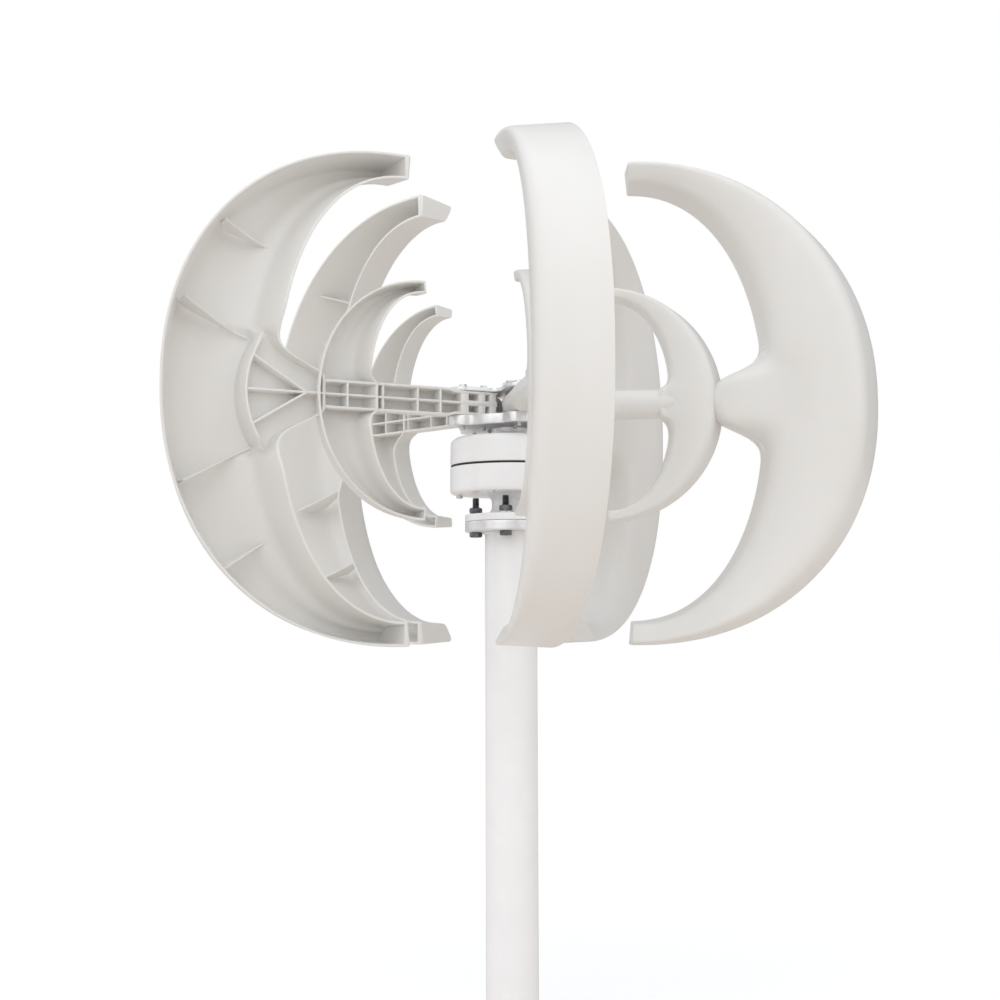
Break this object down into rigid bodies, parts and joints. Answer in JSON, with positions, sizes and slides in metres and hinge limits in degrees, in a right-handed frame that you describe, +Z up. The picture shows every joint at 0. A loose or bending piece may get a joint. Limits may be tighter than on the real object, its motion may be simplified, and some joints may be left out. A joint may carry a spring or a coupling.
{
  "type": "vertical axis wind turbine",
  "caption": "Lantern-type vertical axis wind turbine: moulded crescent blades clamped between lobed hub plates on a flanged permanent-magnet generator at the top of a tubular mast.",
  "frame": {"origin": "centre of the mast's lower end, on the rotor axis", "axes": "+Z up along the mast and the rotor axis; -Y is the side seen in the reference view; the first blade stands 9.2 degrees from -Y towards +X"},
  "size_m": [0.7857, 0.7957, 0.9835],
  "materials": {
    "blade_plastic": "glossy warm white moulded nylon",
    "white_paint": "semi-gloss white powder coat",
    "cast_aluminium": "plain as-cast, lightly machined",
    "zinc_steel": "bright zinc plating",
    "dark_steel": "black oxide",
    "bearing_steel": "ground and polished",
    "black_rubber": "matt black",
    "copper_winding": "varnished copper wire",
    "laminated_steel": "stacked sheet, varnished",
    "magnet": "nickel-plated magnets"
  },
  "bodies": {
    "mast": {"bearing_lower_ball_cage": "bearing_steel", "bearing_lower_outer_race": "bearing_steel", "bearing_upper_ball_cage": "bearing_steel", "bearing_upper_outer_race": "bearing_steel", "cable_grommet": "black_rubber", "flange_bolt_1": "dark_steel", "flange_bolt_2": "dark_steel", "flange_bolt_3": "dark_steel", "flange_bolt_4": "dark_steel", "flange_nut_1": "dark_steel", "flange_nut_2": "dark_steel", "flange_nut_3": "dark_steel", "flange_nut_4": "dark_steel", "flange_washer_1": "zinc_steel", "flange_washer_2": "zinc_steel", "flange_washer_3": "zinc_steel", "flange_washer_4": "zinc_steel", "housing_gasket": "black_rubber", "housing_screw_1": "zinc_steel", "housing_screw_2": "zinc_steel", "housing_screw_3": "zinc_steel", "housing_screw_4": "zinc_steel", "lower_housing": "white_paint", "mast_flange": "cast_aluminium", "mast_tube": "white_paint", "mast_weld": "white_paint", "shaft_seal": "black_rubber", "stator_core": "laminated_steel", "stator_winding": "copper_winding", "upper_housing": "white_paint"},
    "rotor": {"bearing_lower_inner_race": "bearing_steel", "bearing_upper_inner_race": "bearing_steel", "blade_1": "blade_plastic", "blade_2": "blade_plastic", "blade_3": "blade_plastic", "blade_4": "blade_plastic", "blade_5": "blade_plastic", "hub_bolt_1": "zinc_steel", "hub_bolt_10": "zinc_steel", "hub_bolt_2": "zinc_steel", "hub_bolt_3": "zinc_steel", "hub_bolt_4": "zinc_steel", "hub_bolt_5": "zinc_steel", "hub_bolt_6": "zinc_steel", "hub_bolt_7": "zinc_steel", "hub_bolt_8": "zinc_steel", "hub_bolt_9": "zinc_steel", "hub_bottom_plate": "cast_aluminium", "hub_nut": "zinc_steel", "hub_top_plate": "cast_aluminium", "hub_washer": "zinc_steel", "magnet_drum": "dark_steel", "magnet_ring": "magnet", "shaft": "zinc_steel", "shaft_key": "dark_steel"}
  },
  "joints": [
    {"name": "rotor_spin", "type": "hinge", "parent": "mast", "child": "rotor", "pos_m": [0, 0, 0.7076], "axis": [0, 0, 1], "continuous": true}
  ]
}
